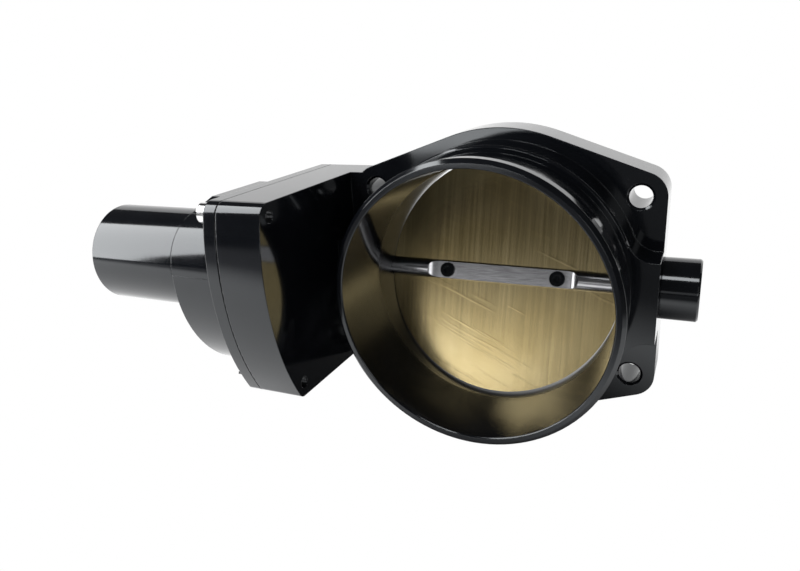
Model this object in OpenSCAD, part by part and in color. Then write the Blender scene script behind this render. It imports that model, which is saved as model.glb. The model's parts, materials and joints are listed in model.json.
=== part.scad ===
// Electronic throttle body with a billet housing, side gear case and motor can.
// X runs along the throttle shaft, Y along the bore towards the engine, Z up.
// The origin is the bore centre on the mounting face. Millimetres.

/* [Bore and inlet] */
// radius of the straight bore
bore_r = 52.5; // [40:0.5:60]
// inside radius of the inlet mouth
mouth_r = 55.1; // [42:0.1:64]
// distance from shaft axis to the inlet rim
rim_y = 48.5; // [35:0.5:70]
// distance from shaft axis to the end of the inlet taper
taper_y = 18; // [8:0.5:30]
// outside radius of the inlet neck
neck_r = 57.2; // [44:0.1:66]
// outside radius of the inlet lip
lip_r = 58.9; // [45:0.1:68]
// width of the inlet lip band
lip_w = 6; // [3:0.5:12]
// radius of the raised body round the bore
body_r = 60; // [50:0.5:70]
// front level of the raised body ahead of the shaft axis
raise_y = 22; // [16:0.5:30]

/* [Flange] */
// distance from shaft axis to the mounting face
face_y = 14; // [13.5:0.5:25]
// front level of the flange pads ahead of the shaft axis
pad_y = 5.3; // [3:0.1:12]
// radius of the flange round the bore
flange_r = 65; // [60:0.5:75]
// hole spacing across
hole_sx = 114.3; // [100:0.1:130]
// hole spacing up
hole_sz = 76.2; // [60:0.1:100]
// radius of the flange holes
hole_r = 4.5; // [3:0.1:6]
// radius of the flange corners
corner_r = 10; // [7:0.5:14]
// half height of the shaft housings
ext_h = 16.5; // [14:0.5:22]

/* [Shaft and blade] */
// throttle shaft radius
shaft_r = 4.5; // [3:0.1:7]
// blade thickness
blade_t = 2.4; // [1.5:0.1:4]
// blade angle at the closed stop
shut_a = 8; // [0:0.5:12]
// extra opening at rest
rest_a = 6.3; // [0:0.1:12]
// distance of each blade screw from the bore axis
screw_x = 25; // [12:0.5:40]
// distance of the shaft flat from the shaft axis
flat_d = 2.5; // [1.5:0.1:4]
// half length of the shaft flat
flat_h = 29; // [20:0.5:45]
// outside radius of the end cap
cap_r = 12.7; // [11:0.1:16]
// outer end of the end cap
cap_x = 81.6; // [74:0.1:95]

/* [Gear case] */
// inner face of the gear case
case_in = 70.5; // [66:0.1:80]
// joint between case and cover
case_split = 91; // [86:0.1:100]
// outer face of the cover
case_out = 97; // [94:0.1:108]
// top of the gear case
case_top = 45; // [38:0.5:52]
// bottom of the gear case
case_bot = 42.5; // [36:0.5:50]
// radius of the curved front of the gear case
front_r = 111.6; // [90:0.1:150]
// foremost reach of the gear case
front_y = 80.3; // [70:0.1:95]
// wall thickness of the gear case
wall = 5; // [3:0.5:8]
// radius of the top front corner of the gear case
corner_top = 6; // [3:0.5:8]
// radius of the bottom front corner of the gear case
corner_bot = 4; // [2:0.5:6]
// radius of the cover's raised lobe below the motor
lobe_r = 59; // [50:0.5:70]
// top of the cover's raised lobe
lobe_top = 37.5; // [34:0.5:42]
// outer face of the raised lobe, where the motor can starts
boss_x = 128; // [118:0.5:135]
// outside radius of the motor can
can_r = 22.4; // [20:0.1:30]
// outer end of the motor can
can_x = 175; // [150:0.5:200]

/* [Gears] */
// motor axis ahead of the shaft axis
motor_y = 45; // [40:0.5:50]
// motor axis above the shaft axis
motor_z = 11; // [5:0.5:16]
// module of the first gear stage
mod_a = 0.8; // [0.6:0.05:1.2]
// module of the second gear stage
mod_b = 1; // [0.8:0.05:1.5]
// teeth on the motor pinion
teeth_pin = 13; // [11:1:18]
// teeth on the large idler gear
teeth_big = 50; // [36:1:60]
// teeth on the small idler gear
teeth_small = 12; // [11:1:18]
// teeth on the full circle of the sector gear
teeth_sec = 40; // [30:1:50]

/* [Hidden] */
$fn = 96;
e = 0.01;
hx = hole_sx / 2;
hz = hole_sz / 2;
hole_d = norm([hx, hz]);
hole_a = atan2(hz, hx);
tan_a = hole_a + acos((flange_r - corner_r) / hole_d);
front_c = front_r - front_y;
front_z = 17.5;
pocket_x = 73.5;
pocket_back = 10.4;
// centre distances and the idler position in the (y, z) plane
dist_b = mod_b * (teeth_small + teeth_sec) / 2;
dist_a = mod_a * (teeth_pin + teeth_big) / 2;
dist_m = norm([motor_y, motor_z]);
along = (dist_b * dist_b - dist_a * dist_a + dist_m * dist_m) / (2 * dist_m);
aside = sqrt(dist_b * dist_b - along * along);
uy = -motor_y / dist_m;
uz = motor_z / dist_m;
idler_y = along * uy - aside * uz;
idler_z = along * uz + aside * uy;
idler_a = atan2(idler_z, idler_y);
pinion_a = atan2(motor_z - idler_z, -motor_y - idler_y);
// gear phases that keep the teeth in mesh at rest
sec_phase = 0;
small_phase = idler_a + 180 + 360 / teeth_small * (0.5 - (sec_phase - idler_a) * teeth_sec / 360);
big_phase = 0;
pin_phase = pinion_a + 180 + 360 / teeth_pin * (0.5 - (big_phase - pinion_a) * teeth_big / 360);
sec_lead = 172;
sec_trail = 279.1;
// cover screw places as (y, z)
case_screws = [[-71.8, 39.4], [8, 39.4], [8, -36.8], [-60, -36.2]];
black = [0.06, 0.06, 0.065];
steel = [0.72, 0.72, 0.73];
brass = [0.74, 0.64, 0.4];
plastic = [0.1, 0.1, 0.1];

// ---- helpers ----
module on_shaft() translate([0, -face_y, 0]) children();

// flat shape drawn in (x, z), filling y0 to y1
module plate(y0, y1) translate([0, y1, 0]) rotate([90, 0, 0]) linear_extrude(y1 - y0) children();

// flat shape drawn in (y, z), filling x0 to x1
module slab(x0, x1) translate([x0, 0, 0]) rotate([90, 0, 90]) linear_extrude(x1 - x0) children();

module xcyl(x0, x1, r, y = 0, z = 0) translate([x0, y, z]) rotate([0, 90, 0]) cylinder(h = x1 - x0, r = r);

module ycyl(y0, y1, r, x = 0, z = 0) translate([x, y1, z]) rotate([90, 0, 0]) cylinder(h = y1 - y0, r = r);

module xtube(x0, x1, ro, ri, y = 0, z = 0) difference() {
    xcyl(x0, x1, ro, y, z);
    xcyl(x0 - 1, x1 + 1, ri, y, z);
}

// ring section drawn as (radius, x) turned about the shaft axis
module xturn(y = 0, z = 0) translate([0, y, z]) rotate([0, 90, 0]) rotate_extrude() children();

function inv(a) = tan(a) * 180 / PI - a;
function gpt(r, a) = [r * cos(a), r * sin(a)];

// involute gear outline with its first tooth centred at angle 0
module gear2d(m, n, add = 0.95, ded = 1.2, slack = 0.1) {
    r = m * n / 2;
    rb = r * cos(20);
    ra = r + add * m;
    rf = r - ded * m;
    half = (PI * m / 2 - slack) / 2 / r * 180 / PI;
    r0 = max(rb, rf);
    steps = 5;
    flank = [for (k = [0:steps]) let (q = r0 + (ra - r0) * k / steps, a = half + inv(20) - inv(acos(min(1, rb / q)))) [q, a]];
    root = [rf, flank[0][1] + (rf < rb ? 0.4 : 0.2)];
    polygon([for (i = [0:n - 1]) let (c = i * 360 / n) each concat(
        [gpt(root[0], c - root[1])],
        [for (k = [0:steps]) gpt(flank[k][0], c - flank[k][1])],
        [for (k = [steps:-1:0]) gpt(flank[k][0], c + flank[k][1])],
        [gpt(root[0], c + root[1])])]);
}

module gear(x0, x1, m, n, y, z, phase, add = 0.95, ded = 1.2)
    translate([0, y, z]) slab(x0, x1) rotate(phase) gear2d(m, n, add, ded);

// outline of the flange in (x, z)
module flange2d() {
    circle(r = flange_r, $fn = 180);
    for (sx = [-1, 1]) for (sz = [-1, 1]) translate([sx * hx, sz * hz]) circle(r = corner_r);
    tx = cos(tan_a);
    tz = sin(tan_a);
    polygon([
        [hx + corner_r, hz], [hx + corner_r, -hz], [hx, -hz],
        [hx + corner_r * tx, -hz - corner_r * tz], [flange_r * tx, -flange_r * tz],
        [-flange_r * tx, -flange_r * tz], [-hx - corner_r * tx, -hz - corner_r * tz], [-hx, -hz],
        [-hx - corner_r, -hz], [-hx - corner_r, hz], [-hx, hz],
        [-hx - corner_r * tx, hz + corner_r * tz], [-flange_r * tx, flange_r * tz],
        [flange_r * tx, flange_r * tz], [hx + corner_r * tx, hz + corner_r * tz], [hx, hz]]);
}

// inside fillets where the raised body meets the shaft housings, in (x, z)
module ext2d(f = 10) {
    fx = sqrt((body_r + f) * (body_r + f) - (ext_h + f) * (ext_h + f));
    k = body_r / (body_r + f);
    square([2 * case_in, 2 * ext_h], center = true);
    for (sx = [-1, 1]) for (sz = [-1, 1]) difference() {
        polygon([[sx * 45, 0], [sx * fx, sz * ext_h], [sx * fx * k, sz * (ext_h + f) * k]]);
        translate([sx * fx, sz * (ext_h + f)]) circle(r = f);
    }
}

// what a rounded front corner of radius f takes off, for an edge at level z drawn in by d
module corner2d(f, z, d) {
    s = sign(z);
    cz = z - s * f;
    cy = front_c - sqrt((front_r - f) * (front_r - f) - (cz - front_z) * (cz - front_z));
    k = (front_r - d + 3) / (front_r - f);
    if (f > d + 0.3) difference() {
        polygon([[cy, cz], [cy, z + s * 3], [-front_y - 8, z + s * 3], [front_c + k * (cy - front_c), front_z + k * (cz - front_z)]]);
        translate([cy, cz]) circle(r = f - d);
    }
}

// outline of the gear case in (y, z), drawn in by d
module case2d(d = 0, back = face_y) difference() {
    intersection() {
        translate([front_c, front_z]) circle(r = front_r - d, $fn = 360);
        translate([-front_y - 5, -case_bot + d]) square([front_y + 5 + back - (back == face_y ? d : 0), case_top + case_bot - 2 * d]);
    }
    corner2d(corner_top, case_top, d);
    corner2d(corner_bot, -case_bot, d);
}

// raised lobe of the cover in (y, z), which runs on from the front of the motor can
module lobe2d() intersection() {
    translate([lobe_r - motor_y - can_r, motor_z - 2]) circle(r = lobe_r, $fn = 180);
    polygon([[-motor_y - can_r - 3, -case_bot + 1], [-13, -case_bot + 1], [-13, -9], [3, 3], [3, lobe_top],
        [-34.4, lobe_top], [-51.5, 32.3], [-motor_y, motor_z], [-motor_y - can_r - 3, motor_z - 2]]);
}

module pocket2d() difference() {
    case2d(wall, pocket_back);
    for (p = case_screws) translate(p) circle(r = 6.4);
}

// ---- housing ----
module throttle_body() color(black) on_shaft() difference() {
    union() {
        // turned body, neck and lip
        rotate([90, 0, 0]) rotate_extrude($fn = 180) polygon([
            [0, -face_y], [body_r, -face_y], [body_r, raise_y - 0.8], [body_r - 0.8, raise_y],
            [neck_r, raise_y], [neck_r, rim_y - lip_w - 0.8], [lip_r, rim_y - lip_w],
            [lip_r, rim_y - 1.6], [lip_r - 1.6, rim_y], [0, rim_y]]);
        plate(-pad_y, face_y) flange2d();
        // shaft housings and the web to the gear case
        intersection() {
            plate(-raise_y, face_y) ext2d();
            translate([-case_in - 1, -raise_y, -40]) cube([case_in + 1 + hx + corner_r, raise_y + face_y, 80]);
        }
        translate([-case_in - 1, -pad_y, -case_bot]) cube([case_in + 1 - hx, pad_y + face_y, case_bot + case_top]);
        slab(-case_split, -case_in) case2d();
    }
    // air path
    rotate([90, 0, 0]) rotate_extrude($fn = 180) polygon([
        [0, -face_y - 1], [bore_r, -face_y - 1], [bore_r, taper_y], [mouth_r, rim_y - 0.4],
        [mouth_r + 0.5, rim_y + 0.1], [mouth_r + 0.5, rim_y + 1], [0, rim_y + 1]]);
    // sealing ring groove in the mounting face
    difference() {
        ycyl(face_y - 2.2, face_y + 1, 59.2);
        ycyl(face_y - 3, face_y + 2, 56);
    }
    // flange holes with a front chamfer
    for (sx = [-1, 1]) for (sz = [-1, 1]) translate([sx * hx, 0, sz * hz]) {
        ycyl(-pad_y - 1, face_y + 1, hole_r);
        translate([0, -pad_y - e, 0]) rotate([-90, 0, 0]) cylinder(h = 1, r1 = hole_r + 0.95, r2 = hole_r - 0.05);
    }
    // shaft hole, seals and bearings
    xcyl(-case_split, hx + corner_r + 1, shaft_r + 0.1);
    for (s = [-1, 1]) {
        xcyl(min(s * 53.8, s * 56.1), max(s * 53.8, s * 56.1), 8);
        xcyl(min(s * 56, s * 62.3), max(s * 56, s * 62.3), 10);
    }
    xcyl(62.2, hx + corner_r + 1, 10.5);
    xcyl(-case_split, -62.2, 12.2);
    // gear pocket
    slab(-case_split - 1, -pocket_x) pocket2d();
    for (p = case_screws) xcyl(-case_split - 1, -case_in + 1, 2.5, p[0], p[1]);
    // idler pin seat and stop screw hole
    xcyl(-pocket_x - 1, -71.9, 2.5, idler_y, idler_z);
    ycyl(pocket_back - 1, face_y + 1, 2.05, -82, -15);
}

module end_cap() color(black) on_shaft() difference() {
    union() {
        xturn() polygon([[0, hx + corner_r], [cap_r, hx + corner_r], [cap_r, cap_x - 0.7], [cap_r - 0.7, cap_x], [0, cap_x]]);
        xcyl(63, hx + corner_r + e, 10.48);
    }
    xcyl(62, cap_x - 3, 8);
}

module flange_seal() color([0.05, 0.05, 0.05]) on_shaft() difference() {
    ycyl(face_y - 2.15, face_y - 0.05, 59.1);
    ycyl(face_y - 3, face_y + 1, 56.1);
}

// ---- shaft group ----
// things fixed to the shaft are drawn square to the bore and tipped to the rest angle
module at_rest() rotate([-shut_a - rest_a, 0, 0]) children();

module throttle_shaft() color(steel) on_shaft() difference() {
    union() {
        xcyl(-79, 70, shaft_r);
        xcyl(-88.3, -78.9, 3.5);
    }
    at_rest() {
        // blade slot
        translate([-bore_r + 0.1, -blade_t / 2 - 0.01, -shaft_r - 1]) cube([2 * bore_r - 0.2, blade_t + 0.02, 2 * shaft_r + 2]);
        // milled flat with curved run-outs
        translate([-flat_h, -shaft_r - 1, -shaft_r - 1]) cube([2 * flat_h, shaft_r + 1 - flat_d, 2 * shaft_r + 2]);
        for (s = [-1, 1]) translate([s * flat_h, -flat_d - 8, -shaft_r - 1]) cylinder(h = 2 * shaft_r + 2, r = 8);
        for (s = [-1, 1]) {
            ycyl(-shaft_r - 1, shaft_r + 1, 2.05, s * screw_x);
            ycyl(-shaft_r - 1, -1.7, 3.35, s * screw_x);
        }
    }
    // groove for the retaining clip
    difference() {
        xcyl(64, 65, shaft_r + 1);
        xcyl(63, 66, 3.6);
    }
}

module blade() color(brass) on_shaft() rotate([-rest_a, 0, 0]) difference() {
    intersection() {
        rotate([-shut_a, 0, 0]) ycyl(-blade_t / 2, blade_t / 2, bore_r + 3);
        ycyl(-30, 30, bore_r - 0.12);
    }
    for (s = [-1, 1]) rotate([-shut_a, 0, 0]) ycyl(-5, 5, 2.05, s * screw_x);
}

module blade_screws() color([0.12, 0.12, 0.13]) on_shaft() at_rest() for (s = [-1, 1]) difference() {
    union() {
        ycyl(-3.3, -1.7, 3.3, s * screw_x);
        ycyl(-2, 3.6, 2, s * screw_x);
    }
    ycyl(-4, -2.2, 1.75, s * screw_x, $fn = 6);
}

module bearing_outer() color(steel) on_shaft() for (s = [-1, 1]) translate([s * 59.1, 0, 0]) xturn() polygon([
    [6.85, -2.9], [9.98, -2.9], [9.98, 2.9], [6.85, 2.9],
    [6.85, 2.4], [8.4, 2.4], [8.4, -2.4], [6.85, -2.4]]);

module bearing_inner() color(steel) on_shaft() for (s = [-1, 1]) xtube(s * 59.1 - 2.9, s * 59.1 + 2.9, 6.8, shaft_r + 0.01);

module bearing_balls() color([0.85, 0.85, 0.86]) on_shaft() for (s = [-1, 1]) for (i = [0:7])
    translate([s * 59.1, 7.6 * cos(i * 45), 7.6 * sin(i * 45)]) sphere(r = 0.76, $fn = 24);

module shaft_seals() color([0.08, 0.08, 0.08]) on_shaft() for (s = [-1, 1]) xtube(s * 54.95 - 1.05, s * 54.95 + 1.05, 7.98, shaft_r + 0.04);

module shaft_clip() color(steel) on_shaft() difference() {
    xtube(64.05, 64.95, 6.6, 3.62);
    translate([63, -1.6, 0]) cube([3, 3.2, 8]);
}

module sector_gear() color([0.85, 0.83, 0.76]) on_shaft() difference() {
    union() {
        intersection() {
            gear(-85, -79.6, mod_b, teeth_sec, 0, 0, sec_phase);
            slab(-86, -79) polygon([[0, 0], gpt(30, sec_lead), gpt(32, 200), gpt(32, 226), gpt(32, 252), gpt(30, sec_trail)]);
        }
        xcyl(-85, -79.05, 8);
    }
    xcyl(-86, -78, 3.51);
    for (a = [196, 226, 256]) xcyl(-86, -78, 2.6, 13 * cos(a), 13 * sin(a));
}

module gear_nut() color(steel) on_shaft() difference() {
    union() {
        xcyl(-85.8, -85.02, 6.4);
        xcyl(-88.3, -85.7, 5.6, $fn = 6);
    }
    xcyl(-89, -85, 3.52);
}

module sensor_magnet() color([0.45, 0.46, 0.5]) on_shaft() xcyl(-90.2, -88.32, 3.4);

module spring_sleeve() color(plastic) on_shaft() difference() {
    union() {
        xcyl(-72.6, -62.4, 7);
        xcyl(-63.4, -62.4, 11.8);
    }
    xcyl(-74, -62, shaft_r + 0.08);
}

// return spring: round wire wound about the shaft axis
module return_spring() color([0.6, 0.6, 0.62]) on_shaft() {
    rc = 9.4;
    wr = 0.75;
    turns = 4.75;
    pitch = 1.75;
    per = 20;
    sides = 8;
    last = turns * per;
    pts = [for (i = [0:last]) let (a = i * 360 / per, x = -64.4 - i * pitch / per) each
        [for (k = [0:sides - 1]) let (t = k * 360 / sides)
            [x - wr * sin(t), (rc + wr * cos(t)) * cos(a), (rc + wr * cos(t)) * sin(a)]]];
    skin = [for (i = [0:last - 1]) each [for (k = [0:sides - 1])
        [i * sides + k, i * sides + (k + 1) % sides, (i + 1) * sides + (k + 1) % sides, (i + 1) * sides + k]]];
    ends = [[for (k = [sides - 1:-1:0]) k], [for (k = [0:sides - 1]) last * sides + k]];
    polyhedron(pts, concat(skin, ends));
}

module stop_screw() color(steel) on_shaft() difference() {
    ycyl(4.85, 13.6, 2, -82, -15);
    ycyl(11.5, 14, 1.15, -82, -15, $fn = 6);
}

// ---- idler group ----
module idler_pin() color(steel) on_shaft() xcyl(-93.6, -71.95, 2.48, idler_y, idler_z);

module idler_gear() color([0.88, 0.86, 0.8]) on_shaft() difference() {
    union() {
        gear(-77.8, -74.3, mod_a, teeth_big, idler_y, idler_z, big_phase, 0.85);
        gear(-85.4, -77.8, mod_b, teeth_small, idler_y, idler_z, small_phase, 0.9);
        xcyl(-90.6, -85.4, 4.2, idler_y, idler_z);
    }
    xcyl(-92, -74, 2.53, idler_y, idler_z);
    difference() {
        xcyl(-75.3, -74, 17, idler_y, idler_z);
        xcyl(-76, -73, 9, idler_y, idler_z);
    }
}

// ---- cover group ----
module gear_cover() color(black) on_shaft() difference() {
    union() {
        slab(-case_out, -case_split - 0.4) case2d();
        slab(-boss_x, -case_out + 1) lobe2d();
        xcyl(-boss_x, -case_out + 1, can_r, -motor_y, motor_z);
    }
    // motor seat
    xcyl(-boss_x - 1, -95, 19.55, -motor_y, motor_z);
    xcyl(-boss_x - 1, -boss_x + 3, 21, -motor_y, motor_z);
    // hollows behind the lobe
    xcyl(-boss_x + 4, -case_split, 8, -36, -26);
    xcyl(-boss_x + 4, -case_split, 5, -21, -27);
    xcyl(-boss_x + 4, -case_split, 10, -12, 22);
    xcyl(-96, -case_split, 4.05, -motor_y, motor_z);
    for (s = [-1, 1]) xcyl(-96, -case_split, 2.1, -motor_y + s * 12.5 * cos(pinion_a + 90), motor_z + s * 12.5 * sin(pinion_a + 90));
    // idler pin seat, sensor recess, wire hole and screws
    xcyl(-93.7, -case_split, 2.5, idler_y, idler_z);
    translate([-94, -12, -11]) cube([3.2, 21, 22]);
    xcyl(-case_out - 1, -case_split, 3, 1, -21);
    for (p = case_screws) {
        xcyl(-case_out - 1, -case_split, 2.75, p[0], p[1]);
        xcyl(-boss_x - 1, -case_out, 5, p[0], p[1]);
    }
    for (s = [-1, 1]) xcyl(-case_out - 1, -94, 1.55, 1 + s * 8.5, -21);
}

module cover_gasket() color([0.03, 0.03, 0.03]) on_shaft() slab(-case_split - 0.38, -case_split - 0.02) difference() {
    case2d(0.6);
    pocket2d();
    for (p = case_screws) translate(p) circle(r = 2.9);
}

module cover_screws() color([0.8, 0.8, 0.8]) on_shaft() for (p = case_screws) difference() {
    union() {
        xcyl(-case_out - 5, -case_out, 4.25, p[0], p[1]);
        xcyl(-case_out - 1, -case_in - 1.6, 2.45, p[0], p[1]);
    }
    xcyl(-case_out - 6, -case_out - 2.2, 2.3, p[0], p[1], $fn = 6);
}

module sensor_board() color([0.1, 0.35, 0.15]) on_shaft() difference() {
    translate([-93.9, -11, -9.5]) cube([1.5, 19, 19]);
    for (y = [-9, 6]) for (z = [-7.5, 7.5]) xcyl(-95, -92, 1, y, z);
}

module sensor_chip() color([0.07, 0.07, 0.07]) on_shaft() translate([-92.38, -3, -3]) cube([1.3, 6, 6]);

module connector_shell() color(plastic) on_shaft() difference() {
    union() {
        translate([-101, -10, -29]) cube([4, 22, 16]);
        translate([-115, -5, -27]) cube([15, 12, 12]);
    }
    translate([-116, -3.5, -25.5]) cube([11.5, 9, 9]);
    for (s = [-1, 1]) xcyl(-102, -96, 1.6, 1 + s * 8.5, -21);
    for (y = [-2, 1, 4]) for (z = [-23, -19]) translate([-110, y - 0.4, z - 0.4]) cube([20, 0.8, 0.8]);
}

module connector_pins() color([0.8, 0.7, 0.35]) on_shaft() for (y = [-2, 1, 4]) for (z = [-23, -19])
    translate([-112, y - 0.38, z - 0.38]) cube([14.4, 0.76, 0.76]);

module connector_screws() color(steel) on_shaft() for (s = [-1, 1]) difference() {
    union() {
        xcyl(-102.6, -101, 2.3, 1 + s * 8.5, -21);
        xcyl(-101.5, -94.5, 1.5, 1 + s * 8.5, -21);
    }
    xcyl(-103, -101.9, 1.1, 1 + s * 8.5, -21, $fn = 6);
}

// ---- motor ----
module motor_can() color(black) on_shaft() difference() {
    union() {
        xcyl(-boss_x, -boss_x + 2.9, 20.96, -motor_y, motor_z);
        xturn(-motor_y, motor_z) polygon([[0, -boss_x], [can_r, -boss_x], [can_r, -can_x + 0.8], [can_r - 0.8, -can_x], [0, -can_x]]);
    }
    xcyl(-can_x + 3.5, -107, 19.7, -motor_y, motor_z);
}

module motor_yoke() color(steel) on_shaft() difference() {
    xcyl(-163, -95, 19.5, -motor_y, motor_z);
    xcyl(-164, -97.4, 17.9, -motor_y, motor_z);
    xcyl(-98, -94, 4.02, -motor_y, motor_z);
    for (s = [-1, 1]) xcyl(-98, -94, 2.05, -motor_y + s * 12.5 * cos(pinion_a + 90), motor_z + s * 12.5 * sin(pinion_a + 90));
}

module motor_magnets() color([0.3, 0.3, 0.32]) on_shaft() for (s = [-1, 1]) difference() {
    xtube(-144, -101, 17.86, 14.5, -motor_y, motor_z);
    translate([-146, -motor_y - 20, motor_z - (s > 0 ? 24 : -5)]) cube([50, 40, 19 + 10]);
    translate([-146, -motor_y - 20, motor_z + (s > 0 ? -24 : -5)]) cube([50, 40, 29]);
}

module motor_shaft() color(steel) on_shaft() xcyl(-161.5, -74.3, 2, -motor_y, motor_z);

module armature_core() color([0.5, 0.5, 0.52]) on_shaft() translate([0, -motor_y, motor_z]) slab(-140, -104) difference() {
    circle(r = 13.9);
    circle(r = 2.01);
    for (i = [0:4]) rotate(i * 72) translate([9.4, 0]) circle(r = 2.9, $fn = 48);
    for (i = [0:4]) rotate(i * 72) translate([9.4, -0.7]) square([6, 1.4]);
}

module armature_coils() color([0.72, 0.35, 0.15]) on_shaft() {
    for (x = [-103.9, -143]) xtube(x, x + 2.9, 12.6, 3, -motor_y, motor_z);
    for (i = [0:4]) xcyl(-142, -102, 2.85, -motor_y + 9.4 * cos(i * 72), motor_z + 9.4 * sin(i * 72));
}

module commutator() color([0.78, 0.45, 0.25]) on_shaft() difference() {
    xtube(-154, -145, 6.5, 2.01, -motor_y, motor_z);
    for (i = [0:4]) translate([-155, -motor_y, motor_z]) rotate([i * 72, 0, 0]) translate([0, 5.4, -0.3]) cube([8.5, 2, 0.6]);
}

module brush_plate() color(plastic) on_shaft() difference() {
    xcyl(-162.8, -156, 17.86, -motor_y, motor_z);
    xcyl(-164, -155, 4.02, -motor_y, motor_z);
}

module brushes() color([0.16, 0.16, 0.17]) on_shaft() for (s = [-1, 1])
    translate([-155.9, -motor_y + (s > 0 ? 6.6 : -14.6), motor_z - 2]) cube([6.9, 8, 4]);

module motor_bushes() color([0.75, 0.6, 0.35]) on_shaft() {
    xtube(-98.6, -92, 4, 2.03, -motor_y, motor_z);
    xtube(-162.6, -157, 4, 2.03, -motor_y, motor_z);
}

module motor_screws() color(steel) on_shaft() for (s = [-1, 1]) translate([0, -motor_y + s * 12.5 * cos(pinion_a + 90), motor_z + s * 12.5 * sin(pinion_a + 90)]) difference() {
    union() {
        xcyl(-case_split - 0.4, -89.4, 3.6);
        xcyl(-97.3, -case_split, 2);
    }
    xcyl(-90.4, -89, 1.3, $fn = 6);
}

module motor_pinion() color([0.8, 0.7, 0.45]) on_shaft() difference() {
    gear(-78.6, -74.4, mod_a, teeth_pin, -motor_y, motor_z, pin_phase, 0.9, 1.2);
    xcyl(-80, -74, 2.01, -motor_y, motor_z);
}

throttle_body();
end_cap();
flange_seal();
throttle_shaft();
blade();
blade_screws();
bearing_outer();
bearing_inner();
bearing_balls();
shaft_seals();
shaft_clip();
sector_gear();
gear_nut();
sensor_magnet();
spring_sleeve();
return_spring();
stop_screw();
idler_pin();
idler_gear();
gear_cover();
cover_gasket();
cover_screws();
sensor_board();
sensor_chip();
connector_shell();
connector_pins();
connector_screws();
motor_can();
motor_yoke();
motor_magnets();
motor_shaft();
armature_core();
armature_coils();
commutator();
brush_plate();
brushes();
motor_bushes();
motor_screws();
motor_pinion();
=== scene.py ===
"""Looks for the electronic throttle body: finishes, floor, lights and camera."""
import json
import math

import bmesh
import bpy
from mathutils import Matrix, Vector


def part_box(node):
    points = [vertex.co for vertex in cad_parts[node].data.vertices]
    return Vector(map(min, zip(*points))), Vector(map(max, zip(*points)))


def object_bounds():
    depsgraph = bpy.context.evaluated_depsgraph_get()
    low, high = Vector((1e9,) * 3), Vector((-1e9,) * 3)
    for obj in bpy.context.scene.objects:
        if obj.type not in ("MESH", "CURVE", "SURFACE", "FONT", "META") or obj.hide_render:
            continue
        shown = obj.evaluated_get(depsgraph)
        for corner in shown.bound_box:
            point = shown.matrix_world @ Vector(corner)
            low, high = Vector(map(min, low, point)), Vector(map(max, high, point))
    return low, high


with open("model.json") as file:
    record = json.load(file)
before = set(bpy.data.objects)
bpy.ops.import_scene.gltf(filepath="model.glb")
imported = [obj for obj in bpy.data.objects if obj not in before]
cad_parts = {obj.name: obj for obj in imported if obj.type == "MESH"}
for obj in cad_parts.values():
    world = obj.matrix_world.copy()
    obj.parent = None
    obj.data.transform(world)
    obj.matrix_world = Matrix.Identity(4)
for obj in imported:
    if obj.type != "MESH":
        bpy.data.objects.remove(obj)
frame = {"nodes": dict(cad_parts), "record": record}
cad_box = [list(c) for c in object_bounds()]
nodes = frame["nodes"]

# ---- places, in metres ----
shaft_lo, shaft_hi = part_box("throttle_shaft")
SHAFT_Y = (shaft_lo.y + shaft_hi.y) / 2
BORE_REACH = 0.0531             # radius that takes in the bore's wall but not the bell
DULL_STARTS = SHAFT_Y - 0.021   # the bore's duller finish fades in between these two depths
DULL_WHOLE = SHAFT_Y - 0.017


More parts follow.
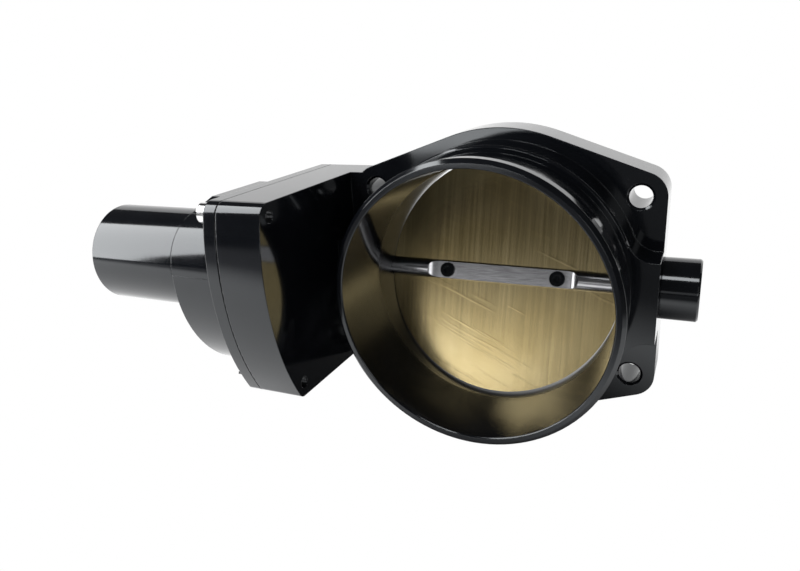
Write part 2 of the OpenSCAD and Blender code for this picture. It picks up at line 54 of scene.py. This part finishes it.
# ---- node helpers ----
class Nodes:
    """A material's node tree with short calls for the nodes used here."""

    def __init__(self, name):
        self.mat = bpy.data.materials.new(name)
        self.mat.use_nodes = True
        self.tree = self.mat.node_tree
        self.shader = self.tree.nodes["Principled BSDF"]

    def add(self, kind, **inputs):
        n = self.tree.nodes.new(kind)
        for key, value in inputs.items():
            n.inputs[key.replace("_", " ")].default_value = value
        return n

    def link(self, a, b):
        self.tree.links.new(a, b)

    def coords(self, scale=(1, 1, 1)):
        tex = self.add("ShaderNodeTexCoord")
        m = self.add("ShaderNodeMapping", Scale=scale)
        self.link(tex.outputs["Object"], m.inputs["Vector"])
        return m.outputs["Vector"]

    def noise(self, vector, scale, detail=3.0, rough=0.5):
        n = self.add("ShaderNodeTexNoise", Scale=scale, Detail=detail, Roughness=rough)
        self.link(vector, n.inputs["Vector"])
        return n.outputs["Fac"]

    def ramp(self, fac, low, high):
        """Two (position, colour) stops."""
        n = self.add("ShaderNodeValToRGB")
        for stop, (position, colour) in zip(n.color_ramp.elements, (low, high)):
            stop.position = position
            stop.color = (*colour, 1)
        self.link(fac, n.inputs["Fac"])
        return n.outputs["Color"]

    def span(self, fac, lo, hi):
        """A 0 to 1 value stretched to lo to hi."""
        n = self.add("ShaderNodeMapRange", To_Min=lo, To_Max=hi)
        self.link(fac, n.inputs["Value"])
        return n.outputs["Result"]

    def rise(self, value, start, end, smooth=False):
        """0 before start, 1 after end."""
        n = self.add("ShaderNodeMapRange", From_Min=start, From_Max=end)
        if smooth:
            n.interpolation_type = "SMOOTHSTEP"
        self.link(value, n.inputs["Value"])
        return n.outputs["Result"]

    def calc(self, operation, *values):
        """Values are numbers or sockets, in the node's own order."""
        n = self.add("ShaderNodeMath")
        n.operation = operation
        for socket, value in zip(n.inputs, values):
            if isinstance(value, (int, float)):
                socket.default_value = value
            else:
                self.link(value, socket)
        return n.outputs["Value"]

    def split(self, vector):
        n = self.add("ShaderNodeSeparateXYZ")
        self.link(vector, n.inputs["Vector"])
        return n.outputs

    def length(self, **parts):
        """Length of the vector with these X, Y or Z parts."""
        flat = self.add("ShaderNodeCombineXYZ")
        for axis, value in parts.items():
            self.link(value, flat.inputs[axis])
        n = self.add("ShaderNodeVectorMath")
        n.operation = "LENGTH"
        self.link(flat.outputs["Vector"], n.inputs[0])
        return n.outputs["Value"]

    def bump(self, height, strength, distance, after=None):
        n = self.add("ShaderNodeBump", Strength=strength, Distance=distance)
        self.link(height, n.inputs["Height"])
        if after is not None:
            self.link(after, n.inputs["Normal"])
        return n.outputs["Normal"]

    def set(self, **inputs):
        for key, value in inputs.items():
            self.shader.inputs[key.replace("_", " ")].default_value = value

    def drive(self, **inputs):
        for key, value in inputs.items():
            self.link(value, self.shader.inputs[key.replace("_", " ")])


# ---- finishes ----
BLACK_DARKER, BLACK_LIGHTER = (0.0025, 0.003, 0.0042), (0.005, 0.0057, 0.0075)
BLACK_SHEEN = (0.93, 0.97, 1.0, 1)
BLACK_IOR = 1.55
BORE_ROUGHER = 0.2      # what the bore's duller finish adds to the roughness
BODY_EDGE = 0.0005      # radius of the softly broken edges, in metres
SCREW_EDGE = 0.0002
EDGE_SAMPLES = 6


def black_anodised(name, bore=False, edge_radius=BODY_EDGE):
    """Polished black anodising with softly broken edges, and a duller bore on the body."""
    m = Nodes(name)
    cloud = m.noise(m.coords(), scale=60, detail=4)
    turned = m.noise(m.coords((0.15, 1, 1)), scale=1400, detail=2)
    milled = m.noise(m.coords((1, 0.02, 0.02)), scale=450, detail=4, rough=0.7)
    edge = m.add("ShaderNodeBevel", Radius=edge_radius)
    edge.samples = EDGE_SAMPLES
    turning = m.bump(turned, strength=0.02, distance=0.00002, after=edge.outputs["Normal"])
    rough = m.span(cloud, 0.06, 0.12)
    if bore:
        place = m.split(m.coords())
        depth = m.rise(place["Y"], DULL_STARTS, DULL_WHOLE)
        inside = m.calc("LESS_THAN", m.length(X=place["X"], Z=place["Z"]), BORE_REACH)
        bore_mask = m.calc("MULTIPLY", depth, inside)
        rough = m.calc("MULTIPLY_ADD", bore_mask, BORE_ROUGHER, rough)
    m.set(Metallic=0.0, IOR=BLACK_IOR, Specular_Tint=BLACK_SHEEN)
    m.drive(
        Base_Color=m.ramp(cloud, (0.3, BLACK_DARKER), (0.7, BLACK_LIGHTER)),
        Roughness=rough,
        Normal=m.bump(milled, strength=0.13, distance=0.00004, after=turning),
    )
    return m.mat


def blade_brass():
    """Brass plate with upright brushing, a slight colour drift and a few slanting scratches."""
    m = Nodes("blade_brass")
    drift = m.noise(m.coords(), scale=35, detail=2)
    brush = m.noise(m.coords((1, 0.02, 0.014)), scale=800, detail=5, rough=0.75)
    slant = m.coords((25, 25, 1))
    slant.node.vector_type = "TEXTURE"
    slant.node.inputs["Rotation"].default_value = (0, math.radians(22), 0)
    scratch = m.ramp(m.noise(slant, scale=520, detail=2), (0.62, (0, 0, 0)), (0.68, (1, 1, 1)))
    mix = m.add("ShaderNodeMix")
    mix.data_type = "RGBA"
    mix.blend_type = "MULTIPLY"
    mix.inputs["Factor"].default_value = 1
    tint = m.ramp(drift, (0.3, (0.56, 0.44, 0.21)), (0.7, (0.66, 0.54, 0.29)))
    grain = m.ramp(brush, (0.35, (0.76, 0.76, 0.74)), (0.65, (1, 1, 1)))
    m.link(tint, mix.inputs["A"])
    m.link(grain, mix.inputs["B"])
    fine = m.bump(brush, strength=0.3, distance=0.00006)
    m.set(Metallic=1.0)
    m.drive(
        Base_Color=mix.outputs["Result"],
        Roughness=m.span(brush, 0.17, 0.31),
        Normal=m.bump(scratch, strength=0.2, distance=0.00005, after=fine),
    )
    return m.mat


def plain(name, low, high, metallic, rough, scale=300, bump=0.1, stretch=(1, 1, 1)):
    """A finish with two shades, a roughness range and a fine grain."""
    m = Nodes(name)
    grain = m.noise(m.coords(stretch), scale, detail=4)
    m.set(Metallic=metallic)
    m.drive(
        Base_Color=m.ramp(grain, (0.3, low), (0.7, high)),
        Roughness=m.span(grain, *rough),
        Normal=m.bump(grain, bump, distance=0.00005),
    )
    return m.mat


# darker shade, lighter shade, metallic, roughness range, then any of grain scale, bump and stretch
PLAIN_FINISHES = {
    "seal_rubber": ((0.02, 0.02, 0.02), (0.035, 0.035, 0.035), 0, (0.5, 0.7)),
    "ground_steel": ((0.5, 0.5, 0.52), (0.66, 0.66, 0.68), 1, (0.16, 0.3), 200, 0.15, (1, 12, 12)),
    "bearing_steel": ((0.6, 0.6, 0.62), (0.75, 0.75, 0.77), 1, (0.1, 0.2)),
    "spring_steel": ((0.4, 0.4, 0.42), (0.55, 0.55, 0.57), 1, (0.25, 0.4)),
    "gear_plastic": ((0.72, 0.68, 0.58), (0.8, 0.77, 0.68), 0, (0.4, 0.55), 200, 0.05),
    "zinc_steel": ((0.5, 0.51, 0.53), (0.68, 0.69, 0.7), 1, (0.25, 0.4)),
    "magnet": ((0.12, 0.12, 0.13), (0.2, 0.2, 0.21), 0.3, (0.5, 0.7)),
    "black_plastic": ((0.02, 0.02, 0.021), (0.035, 0.035, 0.036), 0, (0.4, 0.55), 1500, 0.2),
    "gasket": ((0.01, 0.01, 0.01), (0.02, 0.02, 0.02), 0, (0.6, 0.8)),
    "stainless": ((0.62, 0.62, 0.62), (0.8, 0.8, 0.8), 1, (0.12, 0.22)),
    "board_green": ((0.02, 0.16, 0.06), (0.04, 0.24, 0.1), 0, (0.3, 0.45)),
    "gold_pin": ((0.75, 0.56, 0.22), (0.9, 0.7, 0.32), 1, (0.15, 0.25)),
    "lamination": ((0.3, 0.3, 0.31), (0.5, 0.5, 0.51), 0.9, (0.35, 0.5), 400, 0.3, (12, 1, 1)),
    "copper_wire": ((0.6, 0.22, 0.1), (0.75, 0.34, 0.16), 1, (0.25, 0.4), 800, 0.4, (1, 6, 6)),
    "carbon": ((0.02, 0.02, 0.02), (0.06, 0.06, 0.06), 0.2, (0.5, 0.7)),
    "bronze": ((0.4, 0.26, 0.12), (0.55, 0.38, 0.2), 1, (0.35, 0.5)),
    "pinion_brass": ((0.65, 0.48, 0.2), (0.8, 0.62, 0.3), 1, (0.2, 0.3)),
}
MATERIALS = {
    "black_anodised": black_anodised("black_anodised"),
    "body_anodised": black_anodised("body_anodised", bore=True),
    "black_screw": black_anodised("black_screw", edge_radius=SCREW_EDGE),
    "blade_brass": blade_brass(),
}
for name, finish in PLAIN_FINISHES.items():
    MATERIALS[name] = plain(name, *finish)

slot_of = {s["node"]: s["material_slot"] for s in frame["record"]["subparts"]}
for name, obj in nodes.items():
    look = "body_anodised" if name == "throttle_body" else slot_of[name]
    obj.data.materials.clear()
    obj.data.materials.append(MATERIALS[look])


# ---- floor and backdrop, with painted light and shade ----
STAGE_TURN = math.radians(-25)          # the painted shade ahead of the object faces 25 degrees off the bore's axis
AHEAD_DARK, AHEAD_LIT = -0.24, -0.13    # depths between which the painted shade ahead goes from dark to lit
CONTACT_SHADOW_DARK, CONTACT_SHADOW_LIT = 0.055, 0.14     # painted contact shadow under the bore: the same, by distance from the upright axis
# grey and glow where the shade is painted, then the grey and glow where the floor is lit
PAINTED_SHADE_GREY, PALE_GREY = (0.1, 0.1, 0.103), (0.4, 0.4, 0.4)
PAINTED_SHADE_GLOW, PALE_GLOW = 0.02, 0.9
FLOOR_GAP = 0.004                       # the floor is this far under the object
FLOOR_ROWS = (-3.0, -0.6, -0.3)
HALF_WIDTH = 3.0
BACK, HEIGHT, BEND, BEND_STEPS = 1.6, 1.6, 0.5, 12


def seen_white(tree, surface, output):
    """Show a plain white to the eye, and leave what the object reflects as it is."""
    ray = tree.nodes.new("ShaderNodeLightPath")
    white = tree.nodes.new("ShaderNodeEmission")
    white.inputs["Color"].default_value = (1, 1, 1, 1)
    white.inputs["Strength"].default_value = 1
    mix = tree.nodes.new("ShaderNodeMixShader")
    tree.links.new(ray.outputs["Is Camera Ray"], mix.inputs[0])
    tree.links.new(surface, mix.inputs[1])
    tree.links.new(white.outputs["Emission"], mix.inputs[2])
    tree.links.new(mix.outputs["Shader"], tree.nodes[output].inputs["Surface"])


def stage_paint():
    """Paint whose glow is painted light round and behind the object, with painted shade ahead of it
    and a painted contact shadow under the bore.
    """
    m = Nodes("backdrop_glow_and_painted_shade")
    turned = m.coords()
    turned.node.inputs["Rotation"].default_value = (0, 0, STAGE_TURN)
    place = m.split(turned)
    # painted shade on the floor ahead of the object
    ahead = m.rise(place["Y"], AHEAD_DARK, AHEAD_LIT, smooth=True)
    # painted contact shadow: the floor's glow and grey go dark under the bore
    under = m.rise(m.length(X=place["X"], Y=place["Y"]), CONTACT_SHADOW_DARK, CONTACT_SHADOW_LIT, smooth=True)
    lit = m.calc("MULTIPLY", ahead, under)
    m.set(Roughness=0.9, Emission_Color=(1, 1, 1, 1))
    m.drive(
        Base_Color=m.ramp(lit, (0.0, PAINTED_SHADE_GREY), (1.0, PALE_GREY)),
        Emission_Strength=m.span(lit, PAINTED_SHADE_GLOW, PALE_GLOW),
    )
    seen_white(m.tree, m.shader.outputs["BSDF"], "Material Output")
    return m.mat


def stage_floor():
    """A floor that sweeps up into a backdrop behind the object."""
    z = cad_box[0][2] - FLOOR_GAP
    profile = [(y, z) for y in (*FLOOR_ROWS, BACK - BEND)]
    for i in range(1, BEND_STEPS + 1):
        a = math.radians(i * 90 / BEND_STEPS)
        profile.append((BACK - BEND + BEND * math.sin(a), z + BEND - BEND * math.cos(a)))
    profile.append((BACK, z + HEIGHT))
    bm = bmesh.new()
    sides = (-HALF_WIDTH, HALF_WIDTH)
    left, right = ([bm.verts.new((x, y, h)) for y, h in profile] for x in sides)
    for i in range(len(profile) - 1):
        bm.faces.new((left[i], right[i], right[i + 1], left[i + 1]))
    mesh = bpy.data.meshes.new("backdrop")
    bm.to_mesh(mesh)
    bm.free()
    for p in mesh.polygons:
        p.use_smooth = True
    o = bpy.data.objects.new("backdrop", mesh)
    bpy.context.collection.objects.link(o)
    mesh.materials.append(stage_paint())


# ---- lights ----
# place, the point it faces, size and power in watts
LIGHTS = {
    "left_soft": ((-0.76, -0.42, 0.46), (-0.12, -0.04, 0.02), (0.55, 1.15), 15),
    "low_strip": ((-0.28, -0.76, -0.03), (0, 0, -0.02), (0.28, 0.05), 0.21),
    "wide_strip": ((-0.05, -0.8, 0.05), (0, 0, 0), (0.8, 0.1), 0.14),
    "right_strip": ((0.52, -0.72, 0.03), (0, 0, 0), (0.22, 0.12), 0.28),
    "top_strip": ((0.03, -0.52, 0.74), (0.06, 0, 0), (0.34, 0.18), 1.5),
    "right_soft": ((0.62, -0.85, 0.3), (0, 0, 0), (0.45, 0.4), 0.7),
}
WORLD_STRENGTH = 0.05


def area(name, at, toward, size, power):
    d = bpy.data.lights.new(name, "AREA")
    d.shape = "RECTANGLE"
    d.size, d.size_y = size
    d.energy = power
    o = bpy.data.objects.new(name, d)
    o.visible_camera = False
    o.location = at
    o.rotation_euler = (Vector(toward) - Vector(at)).to_track_quat("-Z", "Y").to_euler()
    bpy.context.collection.objects.link(o)


def faint_world():
    """A weak even light from all round, seen as white."""
    world = bpy.data.worlds.new("studio")
    world.use_nodes = True
    background = world.node_tree.nodes["Background"]
    background.inputs["Color"].default_value = (1, 1, 1, 1)
    background.inputs["Strength"].default_value = WORLD_STRENGTH
    seen_white(world.node_tree, background.outputs["Background"], "World Output")
    bpy.context.scene.world = world


stage_floor()
for name, light in LIGHTS.items():
    area(name, *light)
faint_world()
bpy.context.scene.view_settings.view_transform = "Standard"

# ---- camera ----
CAMERA_PLACE = (0.0802, SHAFT_Y - 0.2806, 0.0959)
CAMERA_ANGLES = 25.01, 18.94, -2.97     # turn, tip and roll, in degrees
SENSOR_WIDTH, LENS = 36, 30.5           # mm
NEAREST = 0.01


def make_camera():
    """A close view from the front, a little above and to the end cap's side, with a slight roll."""
    turn, tip, roll = (math.radians(a) for a in CAMERA_ANGLES)
    flat = math.cos(tip)
    fwd = Vector((-math.sin(turn) * flat, math.cos(turn) * flat, -math.sin(tip)))
    level = fwd.cross(Vector((0, 0, 1))).normalized()
    upright = level.cross(fwd)
    right = math.cos(roll) * level + math.sin(roll) * upright
    up = -math.sin(roll) * level + math.cos(roll) * upright
    cam = bpy.data.objects.new("camera", bpy.data.cameras.new("camera"))
    axes = Matrix((right, up, -fwd)).transposed().to_4x4()
    cam.matrix_world = Matrix.Translation(CAMERA_PLACE) @ axes
    cam.data.sensor_width = SENSOR_WIDTH
    cam.data.lens = LENS
    cam.data.clip_start = NEAREST
    bpy.context.collection.objects.link(cam)
    bpy.context.scene.camera = cam


make_camera()
